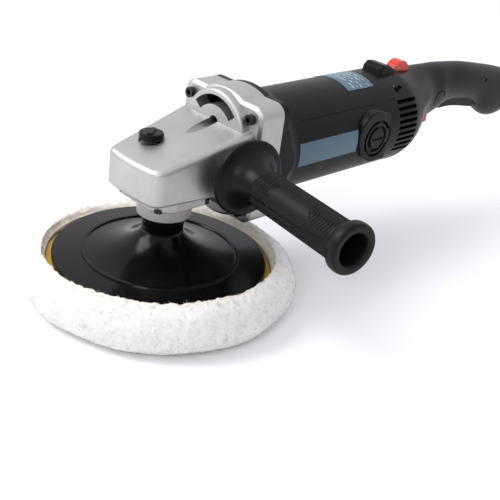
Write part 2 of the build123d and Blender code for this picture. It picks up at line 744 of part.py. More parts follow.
# ---------------------------------------------------------------- motor housing
barrel_bore = barrel_radius - barrel_wall
with BuildPart() as motor_housing:
    with BuildSketch(across(motor_front)):
        Circle(flange_radius)
        Rectangle(2 * flange_half_width, 2 * flange_radius, mode=Mode.INTERSECT)
        RectangleRounded(2 * flange_half_width, 2 * flange_half_height, flange_corner_radius)
    extrude(amount=shoulder_end - motor_front)
    chamfer(motor_housing.faces().sort_by(Axis.X)[-1].edges(), length=2.5)
    with BuildSketch(Plane.XZ):
        with BuildLine():
            Polyline((motor_front + 2, motor_axis_height), (motor_rear, motor_axis_height),
                     (motor_rear, motor_axis_height + barrel_radius),
                     (barrel_start + 4, motor_axis_height + barrel_radius))
            Spline((barrel_start + 4, motor_axis_height + barrel_radius),
                   (92, motor_axis_height + 45.3), (shoulder_end, motor_axis_height + 50.5),
                   tangents=((-1, 0), (-1, 1.2)))
            Polyline((shoulder_end, motor_axis_height + 50.5), (motor_front + 2, motor_axis_height + 50.5),
                     (motor_front + 2, motor_axis_height))
        make_face()
    revolve(axis=Axis((0, 0, motor_axis_height), (1, 0, 0)))
    with BuildSketch(across(motor_front)):
        Rectangle(2 * flange_half_width, 4 * flange_radius)
    extrude(amount=motor_rear - motor_front, mode=Mode.INTERSECT)
    # Raised surround of each brush cap
    for side in (-1, 1):
        with BuildSketch(beside(brush_x, motor_axis_height, side * 30)):
            Circle(21.5)
            with Locations((motor_rear - brush_x, 0)):
                Rectangle(2 * (motor_rear - brush_x), 43)
            with Locations((-3, 4)):
                Circle(21.5)
        extrude(amount=15.2)
        fillet(motor_housing.faces().filter_by(Axis.Y).sort_by(Axis.Y)[0 if side < 0 else -1].edges(),
               radius=1.2)
    with BuildSketch(across(motor_rear)):
        Rectangle(200, 200)
    extrude(amount=20, mode=Mode.SUBTRACT)
    # Hollow for the motor
    with BuildSketch(across(motor_front)):
        Circle(barrel_bore)
    extrude(amount=motor_rear - motor_front - 6, mode=Mode.SUBTRACT)
    with BuildSketch(across(motor_rear - 6)):
        Circle(38)
        Circle(17, mode=Mode.SUBTRACT)
        Rectangle(90, 9, mode=Mode.SUBTRACT)
        Rectangle(9, 90, mode=Mode.SUBTRACT)
    extrude(amount=8, mode=Mode.SUBTRACT)
    with BuildSketch(across(motor_rear - 6)):
        Circle(14)
    extrude(amount=14)
    with BuildSketch(across(motor_rear - 6)):
        Circle(9)
    extrude(amount=20, mode=Mode.SUBTRACT)
    with BuildSketch(across(rear_bearing_front)):
        Circle(rear_bearing_radius)
    extrude(amount=20, mode=Mode.SUBTRACT)
    # Brush tubes, cap holes and the groove ring round each cap
    for side in (-1, 1):
        with BuildSketch(beside(brush_x, motor_axis_height, side * 34)):
            Circle(12)
        extrude(amount=7)
        with BuildSketch(beside(brush_x, motor_axis_height, side * 30)):
            Circle(8.6)
        extrude(amount=20, mode=Mode.SUBTRACT)
        with BuildSketch(beside(brush_x, motor_axis_height, side * 42.6)):
            Circle(17)
            Circle(14.4, mode=Mode.SUBTRACT)
        extrude(amount=5, mode=Mode.SUBTRACT)
        with BuildSketch(beside(brush_x, motor_axis_height, side * 43.35)):
            Circle(12.2)
        extrude(amount=5, mode=Mode.SUBTRACT)
        # Fine line along the barrel
        line_turn = radians(39)
        with BuildSketch(across(108)):
            with Locations((side * barrel_radius * cos(line_turn), barrel_radius * sin(line_turn))):
                Rectangle(1.2, 1.2, rotation=side * 39)
        extrude(amount=motor_rear - 108, mode=Mode.SUBTRACT)
    with BuildSketch(across(motor_front)):
        with Locations(*flange_corners):
            Circle(2.4)
    extrude(amount=7.4, mode=Mode.SUBTRACT)
motor_housing.part.label = "motor_housing"
export_step(motor_housing.part, "parts/motor_housing.step")

# ---------------------------------------------------------------- field and brushes
window_start = 33
window_end = 55
coil_inner = 26
coil_outer = 35
with BuildPart() as field_core:
    with BuildSketch(across(core_front)):
        Circle(core_radius)
        Circle(core_bore_radius, mode=Mode.SUBTRACT)
        for quarter in (0, 90, 180, 270):
            with Locations(Location((0, 0, 0), (0, 0, quarter + 45))):
                with Locations((30.5, 0)):
                    Rectangle(10.4, 12.4, mode=Mode.SUBTRACT)
    extrude(amount=core_rear - core_front)
field_core.part.label = "field_core"
export_step(field_core.part, "parts/field_core.step")

with BuildPart() as field_coils:
    for upward in (-1, 1):
        for start, length in ((core_front - 9, 8.8), (core_rear + 0.2, 8.8)):
            with BuildSketch(across(start)):
                Circle(coil_outer)
                Circle(coil_inner, mode=Mode.SUBTRACT)
                with Locations((0, upward * 40)):
                    Rectangle(49, 50, mode=Mode.INTERSECT)
            extrude(amount=length)
    with BuildSketch(across(core_front - 2)):
        for quarter in (0, 90, 180, 270):
            with Locations(Location((0, 0, 0), (0, 0, quarter + 45))):
                with Locations((30.5, 0)):
                    Rectangle(8.4, 10)
    extrude(amount=core_rear - core_front + 4)
field_coils.part.label = "field_coils"
export_step(field_coils.part, "parts/field_coils.step")

with BuildPart() as fan_baffle:
    with BuildSketch(across(94.5)):
        Circle(barrel_bore - 0.05)
        Circle(30, mode=Mode.SUBTRACT)
    extrude(amount=1.8)
fan_baffle.part.label = "fan_baffle"
export_step(fan_baffle.part, "parts/fan_baffle.step")

with BuildPart() as brush_holders:
    for side in (-1, 1):
        with BuildSketch(beside(brush_x, motor_axis_height, side * 17)):
            Rectangle(2 * brush_half_length + 2.4, 2 * brush_half_height + 2.4)
            Rectangle(2 * brush_half_length + 0.1, 2 * brush_half_height + 0.1, mode=Mode.SUBTRACT)
        extrude(amount=16.8)
brush_holders.part.label = "brush_holders"
export_step(brush_holders.part, "parts/brush_holders.step")

with BuildPart() as carbon_brushes:
    for side in (-1, 1):
        with BuildSketch(beside(brush_x, motor_axis_height, side * (commutator_radius + running_gap))):
            Rectangle(2 * brush_half_length, 2 * brush_half_height)
        extrude(amount=15)
carbon_brushes.part.label = "carbon_brushes"
export_step(carbon_brushes.part, "parts/carbon_brushes.step")

with BuildPart() as brush_springs:
    for side in (-1, 1):
        for turn in range(4):
            with BuildSketch(beside(brush_x, motor_axis_height, side * (30.5 + 1.9 * turn))):
                Circle(3.4)
                Circle(2.6, mode=Mode.SUBTRACT)
            extrude(amount=0.8)
        for hand in (-1, 1):
            with BuildSketch(beside(brush_x + 3 * hand, motor_axis_height, side * 30.2)):
                Rectangle(0.8, 0.8)
            extrude(amount=7)
brush_springs.part.label = "brush_springs"
export_step(brush_springs.part, "parts/brush_springs.step")

with BuildPart() as brush_caps:
    for side in (-1, 1):
        with BuildSketch(beside(brush_x, motor_axis_height, side * 37.5)):
            Circle(8.4)
        extrude(amount=6)
        with BuildSketch(beside(brush_x, motor_axis_height, side * 43.4)):
            Circle(brush_cap_radius)
        extrude(amount=2.4)
        chamfer(brush_caps.faces().filter_by(Axis.Y).sort_by(Axis.Y)[0 if side < 0 else -1].edges(),
                length=0.6)
        with BuildSketch(beside(brush_x, motor_axis_height, side * 44.6)):
            Rectangle(15, 2.2)
        extrude(amount=3, mode=Mode.SUBTRACT)
brush_caps.part.label = "brush_caps"
export_step(brush_caps.part, "parts/brush_caps.step")

# ---------------------------------------------------------------- labels
label_thickness = 0.35
with BuildPart() as side_label:
    with BuildSketch(across(102)):
        Circle(barrel_radius + 0.02 + label_thickness)
        Circle(barrel_radius + 0.02, mode=Mode.SUBTRACT)
        Polygon((0, 0), (-80 * cos(radians(10.5)), -80 * sin(radians(10.5))),
                (-80 * cos(radians(15.5)), 80 * sin(radians(15.5))), align=None, mode=Mode.INTERSECT)
    extrude(amount=74)
side_label.part.label = "side_label"
export_step(side_label.part, "parts/side_label.step")

with BuildPart() as top_label:
    with BuildSketch(across(181)):
        Circle(barrel_radius + 0.02 + label_thickness)
        Circle(barrel_radius + 0.02, mode=Mode.SUBTRACT)
        Polygon((0, 0), (-90 * sin(radians(28)), 90 * cos(radians(28))), (0, 120),
                (90 * sin(radians(28)), 90 * cos(radians(28))), align=None, mode=Mode.INTERSECT)
    extrude(amount=35)
top_label.part.label = "top_label"
export_step(top_label.part, "parts/top_label.step")

# ---------------------------------------------------------------- tail handle
with BuildPart() as handle_outside:
    for x, half_width, low, high in handle_sections:
        with BuildSketch(Plane(origin=(x, 0, (low + high) / 2), x_dir=(0, 1, 0), z_dir=(1, 0, 0))):
            Ellipse(half_width, (high - low) / 2)
    loft()
    with BuildSketch(across(motor_rear)):
        Circle(barrel_radius)
    extrude(amount=handle_sections[0][0] - motor_rear)
    fillet(handle_outside.faces().sort_by(Axis.X)[-1].edges(), radius=6)

with BuildPart() as dial_guard:
    with BuildSketch(Plane.XZ):
        with BuildLine():
            Polyline((234, 148), (236.5, 158), (241, 161.5), (249, 160.5), (258, 156.5), (266, 148),
                     (234, 148))
        make_face()
    extrude(amount=11, both=True)
    fillet(dial_guard.faces().filter_by(Axis.Y).edges(), radius=2.5)

with BuildPart() as handle_inside:
    for x, half_width, low, high in handle_sections:
        with BuildSketch(Plane(origin=(x, 0, (low + high) / 2), x_dir=(0, 1, 0), z_dir=(1, 0, 0))):
            Ellipse(half_width - handle_wall, (high - low) / 2 - handle_wall)
    loft()
    with BuildSketch(across(motor_rear - 1)):
        Circle(barrel_radius - handle_wall)
    extrude(amount=handle_sections[0][0] - motor_rear + 1)
    with BuildSketch(across(cavity_rear)):
        Rectangle(100, 200)
    extrude(amount=20, mode=Mode.SUBTRACT)

# Distance, height and recess floor of each screw on the left half
handle_screws_at = ((242.5, 145, 23.5), (300, 105, 20.5), (418.5, 128, 12.6), (462, 92, 12.6))
handle_screw_places = [(x, z) for x, z, floor in handle_screws_at]


with BuildPart() as handle_posts:
    with BuildSketch(Plane.XZ):
        with Locations(*handle_screw_places):
            Circle(4.2)
    extrude(amount=60, both=True)
    add(handle_outside.part, mode=Mode.INTERSECT)

with BuildPart() as handle_shell:
    add(handle_outside.part)
    add(dial_guard.part)
    add(handle_inside.part, mode=Mode.SUBTRACT)
    add(handle_posts.part)
    # Air slots in both sides
    for side in (-1, 1):
        with BuildSketch(beside(249.4, 113.05, side * 24)):
            with GridLocations(1, 5.6, 1, 9):
                SlotOverall(27.4, 3.1)
        extrude(amount=30, mode=Mode.SUBTRACT)
        with BuildSketch(across(motor_rear - 1)):
            with Locations((side * barrel_radius * cos(radians(39)), barrel_radius * sin(radians(39)))):
                Rectangle(1.2, 1.2, rotation=side * 39)
        extrude(amount=17, mode=Mode.SUBTRACT)
        # Round recesses beside the trigger pivot
        with BuildSketch(beside(334, 118, side * 16.6)):
            Circle(9.6)
            Circle(8.2, mode=Mode.SUBTRACT)
        extrude(amount=6, mode=Mode.SUBTRACT)
        # Part ring round the brush cap that runs over the seam
        with BuildSketch(beside(brush_x, motor_axis_height, side * 42.6)):
            Circle(21.5)
            Circle(19.5, mode=Mode.SUBTRACT)
        extrude(amount=6, mode=Mode.SUBTRACT)
    # Slots for the trigger, the lock-on button and the speed dial
    with BuildSketch(Plane.XZ):
        Polygon((343, 60), (424.5, 60), (424.5, 104), (400, 112), (343, 118), align=None)
    extrude(amount=trigger_half_width + 0.4, both=True, mode=Mode.SUBTRACT)
    with BuildSketch(Plane.XY.offset(80)):
        with Locations((lock_on_x, 0)):
            Rectangle(2 * lock_on_half_length + 0.6, 9.6)
    extrude(amount=26, mode=Mode.SUBTRACT)
    with BuildSketch(Plane.XZ):
        with Locations((dial_x, dial_height)):
            Circle(dial_radius + 0.6)
    extrude(amount=dial_half_width + 0.5, both=True, mode=Mode.SUBTRACT)
    with BuildSketch(Plane.XY.offset(140)):
        with Locations((dial_x, 0)):
            Rectangle(10, 18)
    extrude(amount=9.2, mode=Mode.SUBTRACT)
    # Hole for the cord bush and the trigger pin
    with BuildSketch(across(cavity_rear - 4)):
        with Locations((0, 105.5 - motor_axis_height)):
            Circle(8.1)
    extrude(amount=20, mode=Mode.SUBTRACT)
    with BuildSketch(Plane.XZ):
        with Locations((trigger_pivot_x, trigger_pivot_height)):
            Circle(1.5)
    extrude(amount=11.6, both=True, mode=Mode.SUBTRACT)
    # Screw recesses on the left half and the screw holes
    for x, z, floor in handle_screws_at:
        with BuildSketch(beside(x, z, -floor)):
            Circle(3.5)
        extrude(amount=20, mode=Mode.SUBTRACT)
        with BuildSketch(beside(x, z, -floor - 1)):
            Circle(1.5)
        extrude(amount=-floor - 10, mode=Mode.SUBTRACT)
    with BuildSketch(beside(242.5, 145, -23.5)):
        Polygon((-3.5, 0), (0, 3.5), (10, 0), (0, -3.5), align=None)
    extrude(amount=20, mode=Mode.SUBTRACT)

with BuildPart() as rear_handle_left:
    add(handle_shell.part)
    with BuildSketch(Plane.XZ):
        Rectangle(1200, 600)
    extrude(amount=-100, mode=Mode.SUBTRACT)
rear_handle_left.part.label = "rear_handle_left"
export_step(rear_handle_left.part, "parts/rear_handle_left.step")

with BuildPart() as rear_handle_right:
    add(handle_shell.part)
    with BuildSketch(Plane.XZ):
        Rectangle(1200, 600)
    extrude(amount=100, mode=Mode.SUBTRACT)
rear_handle_right.part.label = "rear_handle_right"
export_step(rear_handle_right.part, "parts/rear_handle_right.step")

with BuildPart() as handle_screws:
    for x, z, floor in handle_screws_at:
        with BuildSketch(beside(x, z, -floor)):
            Circle(3.2)
        extrude(amount=2)
        with BuildSketch(beside(x, z, -floor)):
            Circle(1.4)
        extrude(amount=-floor - 7)
        with BuildSketch(beside(x, z, -floor - 0.9)):
            Rectangle(4.4, 0.9)
            Rectangle(0.9, 4.4)
        extrude(amount=2, mode=Mode.SUBTRACT)
handle_screws.part.label = "handle_screws"
export_step(handle_screws.part, "parts/handle_screws.step")

# ---------------------------------------------------------------- controls
with BuildPart() as switch_body:
    with BuildSketch(Plane.XY.offset(118)):
        with Locations((374, 0)):
            Rectangle(36, 18)
    extrude(amount=17.5)
    fillet(switch_body.edges(), radius=1)
    with BuildSketch(Plane.XY.offset(114.6)):
        with Locations((382, 0)):
            Rectangle(5, 6)
    extrude(amount=4)
switch_body.part.label = "switch_body"
export_step(switch_body.part, "parts/switch_body.step")

with BuildPart() as trigger:
    with BuildSketch(Plane.XZ):
        with BuildLine():
            Polyline((420.5, 94.8), (421.5, 99), (414, 104), (398, 108.5), (370, 113), (356, 117), (346, 117),
                     (344, 113), (344, 105.5))
            Spline((344, 105.5), (350, 103.4), (362, 102.9), (392, 99.6), (410, 96.2), (420.5, 94.8))
        make_face()
        with Locations((trigger_pivot_x, trigger_pivot_height)):
            Circle(1.5 + running_gap, mode=Mode.SUBTRACT)
    extrude(amount=trigger_half_width, both=True)
    chamfer(trigger.edges().filter_by(Axis.Y).sort_by(Axis.X)[-1], length=1)
trigger.part.label = "trigger"
export_step(trigger.part, "parts/trigger.step")

with BuildPart() as trigger_pin:
    with BuildSketch(Plane.XZ):
        with Locations((trigger_pivot_x, trigger_pivot_height)):
            Circle(1.48)
    extrude(amount=11.5, both=True)
trigger_pin.part.label = "trigger_pin"
export_step(trigger_pin.part, "parts/trigger_pin.step")

with BuildPart() as lock_on_button:
    with BuildSketch(Plane.XY.offset(89.5)):
        with Locations((lock_on_x, 0)):
            Rectangle(2 * lock_on_half_length, 9)
    extrude(amount=15.3)
    fillet(lock_on_button.faces().sort_by(Axis.Z)[0].edges(), radius=1.2)
    with BuildSketch(Plane.XY.offset(104.3)):
        with Locations((lock_on_x, 0)):
            Rectangle(2 * lock_on_half_length + 3, 12)
    extrude(amount=1.6)
lock_on_button.part.label = "lock_on_button"
export_step(lock_on_button.part, "parts/lock_on_button.step")

with BuildPart() as speed_dial:
    with BuildSketch(Plane.XZ):
        with Locations((dial_x, dial_height)):
            Circle(dial_radius)
            with PolarLocations(dial_radius, 36):
                Circle(0.45, mode=Mode.SUBTRACT)
    extrude(amount=dial_half_width, both=True)
    with BuildSketch(Plane.XZ):
        with Locations((dial_x, dial_height)):
            Circle(1.5)
    extrude(amount=8, both=True)
speed_dial.part.label = "speed_dial"
export_step(speed_dial.part, "parts/speed_dial.step")

with BuildPart() as speed_module:
    with BuildSketch(Plane.XY.offset(115)):
        with Locations((284, 0)):
            Rectangle(44, 22)
    extrude(amount=17)
    for side in (-1, 1):
        with BuildSketch(Plane.XY.offset(131)):
            with Locations((dial_x, side * 7.2)):
                Rectangle(8, 2.4)
        extrude(amount=16)
    with BuildSketch(Plane.XZ):
        with Locations((dial_x, dial_height)):
            Circle(1.5 + running_gap)
    extrude(amount=12, both=True, mode=Mode.SUBTRACT)
speed_module.part.label = "speed_module"
export_step(speed_module.part, "parts/speed_module.step")

with BuildPart() as cord_bush:
    with BuildSketch(across(cavity_rear - 4)):
        with Locations((0, 105.5 - motor_axis_height)):
            Circle(10.5)
    extrude(amount=4)
    with BuildSketch(across(cavity_rear)):
        with Locations((0, 105.5 - motor_axis_height)):
            Circle(8)
    extrude(amount=13)
    fillet(cord_bush.faces().sort_by(Axis.X)[-1].edges(), radius=1.5)
    with BuildSketch(across(cavity_rear - 5)):
        with Locations((0, 105.5 - motor_axis_height)):
            Circle(4.2)
    extrude(amount=30, mode=Mode.SUBTRACT)
cord_bush.part.label = "cord_bush"
export_step(cord_bush.part, "parts/cord_bush.step")

# ---------------------------------------------------------------- side handle
grip_axis = Axis(side_section(-1).origin, side_section(-1).x_dir)
with BuildPart() as side_handle_grip:
    with BuildSketch(side_section(-1)):
        with BuildLine():
            Polyline((30, 0), (30, stud_radius), (0.1, stud_radius), (0.1, 17), (1.2, 28.5), (2, 30.2),
                     (3.4, side_flange_radius), (4.6, 30.2), (5.4, 28.5), (6.2, 24.5))
            Spline((6.2, 24.5), (11, 19.8), (17, 16.4), (24, side_grip_radius))
            Polyline((24, side_grip_radius), (114, side_grip_radius), (117, 16.5), (119, 19),
                     (120.5, side_ring_radius), (125.5, side_ring_radius), (side_handle_length, 18.3),
                     (side_handle_length, 13.4), (126, side_hole_radius), (58, side_hole_radius),
                     (50, 0), (30, 0))
        make_face()
    revolve(axis=grip_axis)
    with BuildSketch(side_plane(-1, 26)):
        with PolarLocations(side_grip_radius, 28):
            Rectangle(1.9, 1.5)
    extrude(amount=88)
side_handle_grip.part.label = "side_handle_grip"
export_step(side_handle_grip.part, "parts/side_handle_grip.step")

with BuildPart() as side_handle_stud:
    with BuildSketch(side_plane(-1, -stud_depth)):
        Circle(stud_radius - 0.02)
    extrude(amount=stud_depth + 29)
side_handle_stud.part.label = "side_handle_stud"
export_step(side_handle_stud.part, "parts/side_handle_stud.step")
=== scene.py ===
import math

import bpy
import numpy as np
from mathutils import Matrix, Vector, noise


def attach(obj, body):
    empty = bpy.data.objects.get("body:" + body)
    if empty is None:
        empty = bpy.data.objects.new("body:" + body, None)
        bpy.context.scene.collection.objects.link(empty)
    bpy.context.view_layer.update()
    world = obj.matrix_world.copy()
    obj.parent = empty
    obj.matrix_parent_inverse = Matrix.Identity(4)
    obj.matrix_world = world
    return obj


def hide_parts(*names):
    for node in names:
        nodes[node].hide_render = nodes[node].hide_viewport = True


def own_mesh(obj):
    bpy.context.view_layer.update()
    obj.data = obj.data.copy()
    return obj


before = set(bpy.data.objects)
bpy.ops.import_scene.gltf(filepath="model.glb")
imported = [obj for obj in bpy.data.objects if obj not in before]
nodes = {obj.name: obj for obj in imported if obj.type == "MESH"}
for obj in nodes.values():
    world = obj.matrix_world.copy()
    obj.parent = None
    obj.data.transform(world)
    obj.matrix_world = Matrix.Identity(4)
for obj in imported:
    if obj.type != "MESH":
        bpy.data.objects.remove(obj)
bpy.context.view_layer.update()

MM = 0.001
scene = bpy.context.scene
scene.view_settings.view_transform = "Standard"

# ---------------------------------------------------------------- camera
CAMERA_PLACE = Vector((-0.433, -0.486, 0.3835))
CAMERA_YAW = math.radians(42.0)     # from +X towards +Y
CAMERA_PITCH = math.radians(27.6)   # downwards
CAMERA_ROLL = math.radians(8.1)
CAMERA_LENS = 65.8
CAMERA_SENSOR = 36.0
CAMERA_NEAR = 0.01

ahead = Vector((math.cos(CAMERA_PITCH) * math.cos(CAMERA_YAW),
                math.cos(CAMERA_PITCH) * math.sin(CAMERA_YAW), -math.sin(CAMERA_PITCH)))
level_right = Vector((math.sin(CAMERA_YAW), -math.cos(CAMERA_YAW), 0))
level_up = level_right.cross(ahead)
right = level_right * math.cos(CAMERA_ROLL) + level_up * math.sin(CAMERA_ROLL)
up = level_up * math.cos(CAMERA_ROLL) - level_right * math.sin(CAMERA_ROLL)

camera_data = bpy.data.cameras.new("camera")
camera_data.lens = CAMERA_LENS
camera_data.sensor_width = CAMERA_SENSOR
camera_data.clip_start = CAMERA_NEAR
camera = bpy.data.objects.new("camera", camera_data)
scene.collection.objects.link(camera)
turn = Matrix((right, up, -ahead)).transposed().to_4x4()
camera.matrix_world = Matrix.Translation(CAMERA_PLACE) @ turn
scene.camera = camera


# ---------------------------------------------------------------- materials
def math_node(tree, operation, first, second, clamp=False):
    """A Math node in this tree. Each value is a number or another node's output."""
    made = tree.nodes.new("ShaderNodeMath")
    made.operation = operation
    made.use_clamp = clamp
    for socket, value in zip(made.inputs, (first, second)):
        if isinstance(value, (int, float)):
            socket.default_value = value
        else:
            tree.links.new(value, socket)
    return made.outputs["Value"]


class Paint:
    """A procedural material built from nodes round one Principled shader."""

    def __init__(self, name, **settings):
        self.material = bpy.data.materials.new(name)
        self.material.use_nodes = True
        self.tree = self.material.node_tree
        self.shader = self.tree.nodes["Principled BSDF"]
        for key, value in settings.items():
            socket = key.replace("_", " ").title().replace("Ior", "IOR")
            self.shader.inputs[socket].default_value = value
        self.place = self.tree.nodes.new("ShaderNodeTexCoord").outputs["Object"]

    def node(self, kind, **settings):
        made = self.tree.nodes.new(kind)
        for key, value in settings.items():
            setattr(made, key, value)
        return made

    def link(self, source, target):
        self.tree.links.new(source, target)

    def stretched(self, scale):
        """The place, scaled along each axis."""
        made = self.node("ShaderNodeMapping")
        made.inputs["Scale"].default_value = scale
        self.link(self.place, made.inputs["Vector"])
        return made.outputs["Vector"]

    def along(self, axis):
        """The place's X, Y or Z."""
        made = self.node("ShaderNodeSeparateXYZ")
        self.link(self.place, made.inputs["Vector"])
        return made.outputs[axis]

    def noise(self, scale, detail, rough, at=None, distort=0.0):
        made = self.node("ShaderNodeTexNoise")
        made.inputs["Scale"].default_value = scale
        made.inputs["Detail"].default_value = detail
        made.inputs["Roughness"].default_value = rough
        made.inputs["Distortion"].default_value = distort
        self.link(at or self.place, made.inputs["Vector"])
        return made.outputs["Fac"]

    def spread(self, value, low, high, start=0.3, end=0.7):
        """The value, with start to end spread out over low to high."""
        made = self.node("ShaderNodeMapRange")
        made.inputs["From Min"].default_value = start
        made.inputs["From Max"].default_value = end
        made.inputs["To Min"].default_value = low
        made.inputs["To Max"].default_value = high
        self.link(value, made.inputs["Value"])
        return made.outputs["Result"]

    def colours(self, value, stops):
        """A colour ramp. stops is a list of (position, colour)."""
        made = self.node("ShaderNodeValToRGB")
        ramp = made.color_ramp
        for element, (position, colour) in zip(ramp.elements, stops):
            element.position = position
            element.color = (*colour, 1.0)
        self.link(value, made.inputs["Fac"])
        return made.outputs["Color"]

    def mixed(self, factor, first, second):
        """The first colour, an output, mixed with the second, a plain one."""
        made = self.node("ShaderNodeMix", data_type="RGBA")
        self.link(factor, made.inputs["Factor"])
        self.link(first, made.inputs["A"])
        made.inputs["B"].default_value = (*second, 1.0)
        return made.outputs["Result"]

    def maths(self, operation, first, second):
        return math_node(self.tree, operation, first, second)

    def bump(self, height, strength, distance, after=None):
        made = self.node("ShaderNodeBump")
        made.inputs["Strength"].default_value = strength
        made.inputs["Distance"].default_value = distance
        self.link(height, made.inputs["Height"])
        if after is not None:
            self.link(after, made.inputs["Normal"])
        self.link(made.outputs["Normal"], self.shader.inputs["Normal"])
        return made.outputs["Normal"]

    def colour(self, value):
        self.link(value, self.shader.inputs["Base Color"])

    def rough(self, value):
        self.link(value, self.shader.inputs["Roughness"])


def moulded(name, dark, light, rough, grain=1400.0, depth=0.00006, **settings):
    """Moulded plastic or rubber: fine spark-eroded grain, cloudy sheen and slight colour change."""
    paint = Paint(name, **settings)
    cloud = paint.noise(scale=22.0, detail=5.0, rough=0.55)
    paint.colour(paint.colours(cloud, [(0.3, dark), (0.7, light)]))
    fine = paint.noise(scale=grain, detail=3.0, rough=0.6)
    smear = paint.noise(scale=9.0, detail=6.0, rough=0.65, distort=0.6)
    paint.rough(paint.maths("ADD", paint.spread(smear, *rough), paint.spread(fine, -0.03, 0.03)))
    paint.bump(fine, strength=0.5, distance=depth)
    return paint.material


def metal(name, dark, light, rough, grain, depth, stretch=(1, 1, 1)):
    """Bare metal: cloudy tone, fine grain and small changes of sheen."""
    paint = Paint(name, metallic=1.0)
    cloud = paint.noise(scale=18.0, detail=6.0, rough=0.6)
    paint.colour(paint.colours(cloud, [(0.25, dark), (0.75, light)]))
    fine = paint.noise(scale=grain, detail=4.0, rough=0.65, at=paint.stretched(stretch))
    smear = paint.noise(scale=12.0, detail=4.0, rough=0.6)
    paint.rough(paint.maths("ADD", paint.spread(smear, *rough), paint.spread(fine, -0.04, 0.04)))
    paint.bump(fine, strength=0.35, distance=depth)
    return paint.material


cast_aluminium = metal("cast_aluminium", (0.40, 0.395, 0.385), (0.52, 0.515, 0.505),
                       rough=(0.42, 0.54), grain=620.0, depth=0.00045)
machined_steel = metal("machined_steel", (0.42, 0.42, 0.43), (0.58, 0.58, 0.59),
                       rough=(0.18, 0.32), grain=500.0, depth=0.00003, stretch=(1, 1, 12))
gear_steel = metal("gear_steel", (0.25, 0.25, 0.26), (0.36, 0.36, 0.37),
                   rough=(0.28, 0.42), grain=700.0, depth=0.00004)
laminated_steel = metal("laminated_steel", (0.22, 0.23, 0.25), (0.36, 0.37, 0.39),
                        rough=(0.35, 0.5), grain=300.0, depth=0.00010, stretch=(14, 0.2, 0.2))
screw_steel = metal("screw_steel", (0.018, 0.018, 0.02), (0.05, 0.05, 0.052),
                    rough=(0.30, 0.45), grain=800.0, depth=0.00004)
bronze = metal("bronze", (0.42, 0.27, 0.12), (0.55, 0.37, 0.18),
               rough=(0.35, 0.5), grain=1500.0, depth=0.00006)
brass = metal("brass", (0.62, 0.44, 0.16), (0.74, 0.56, 0.25),
              rough=(0.25, 0.38), grain=700.0, depth=0.00004)
copper = metal("copper", (0.45, 0.17, 0.07), (0.66, 0.29, 0.13),
               rough=(0.25, 0.40), grain=200.0, depth=0.00025, stretch=(1, 9, 9))
carbon = moulded("carbon", (0.012, 0.012, 0.013), (0.03, 0.03, 0.031), rough=(0.5, 0.65))
casing_black = moulded("casing_black", (0.0034, 0.0032, 0.0034), (0.0055, 0.0051, 0.0053),
                       rough=(0.34, 0.44), specular_ior_level=0.28, ior=1.33)
plate_black = moulded("plate_black", (0.0016, 0.0016, 0.0018), (0.003, 0.003, 0.0032),
                      rough=(0.14, 0.24), grain=500.0, depth=0.00002, specular_ior_level=0.35, ior=1.3)
rubber_black = moulded("rubber_black", (0.0035, 0.0034, 0.0036), (0.0058, 0.0055, 0.0058),
                       rough=(0.34, 0.46), grain=1100.0, depth=0.00008, specular_ior_level=0.32, ior=1.33)
inner_plastic = moulded("inner_plastic", (0.03, 0.03, 0.032), (0.05, 0.05, 0.052), rough=(0.4, 0.5))
red_plastic = moulded("red_plastic", (0.50, 0.022, 0.008), (0.62, 0.035, 0.012), rough=(0.28, 0.36))
LABEL_DARK = (0.045, 0.095, 0.135)
LABEL_LIGHT = (0.060, 0.125, 0.170)
LABEL_GRAIN = 2200.0
label_blue = moulded("label_blue", LABEL_DARK, LABEL_LIGHT, rough=(0.30, 0.38), grain=LABEL_GRAIN,
                     depth=0.00002)
loop_yellow = moulded("loop_yellow", (0.55, 0.30, 0.012), (0.80, 0.50, 0.05),
                      rough=(0.85, 0.95), grain=900.0, depth=0.0006, sheen_weight=0.4)
hook_black = moulded("hook_black", (0.02, 0.02, 0.02), (0.05, 0.05, 0.05),
                     rough=(0.8, 0.9), grain=1200.0, depth=0.0005)

WOOL_DARK = (0.70, 0.69, 0.665)
WOOL_LIGHT = (0.765, 0.755, 0.735)
WOOL_TINT = (0.70, 0.60, 0.42)
TINT_STRENGTH = 0.45
TINT_FROM = 0.0965    # the tint is full up to here from the spindle and gone at TINT_TO
TINT_TO = 0.104
TINT_RAGGED = 0.012


def wool_material():
    paint = Paint("wool_white", roughness=0.95, sheen_weight=0.35, sheen_roughness=0.5)
    tuft = paint.noise(scale=140.0, detail=6.0, rough=0.6, distort=0.8)
    fleece = paint.colours(tuft, [(0.25, WOOL_DARK), (0.6, WOOL_LIGHT)])
    # Polish and backing tint the wool next to the plate
    squares = [paint.maths("POWER", paint.along(axis), 2.0) for axis in "XY"]
    reach = paint.maths("POWER", paint.maths("ADD", *squares), 0.5)
    ragged = paint.maths("MULTIPLY", paint.noise(scale=45.0, detail=4.0, rough=0.5), TINT_RAGGED)
    nearness = paint.spread(paint.maths("ADD", reach, ragged), TINT_STRENGTH, 0.0, TINT_FROM, TINT_TO)
    paint.colour(paint.mixed(nearness, fleece, WOOL_TINT))
    strand = paint.noise(scale=900.0, detail=3.0, rough=0.7, at=paint.stretched((1, 1, 0.35)))
    first = paint.bump(tuft, strength=0.25, distance=0.0008)
    paint.bump(strand, strength=0.3, distance=0.0004, after=first)
    return paint.material


PRINT_FROM = 0.186    # along X
PRINT_TO = 0.211
PRINT_COLOUR = (0.55, 0.62, 0.66)
PRINT_STRENGTH = 0.55


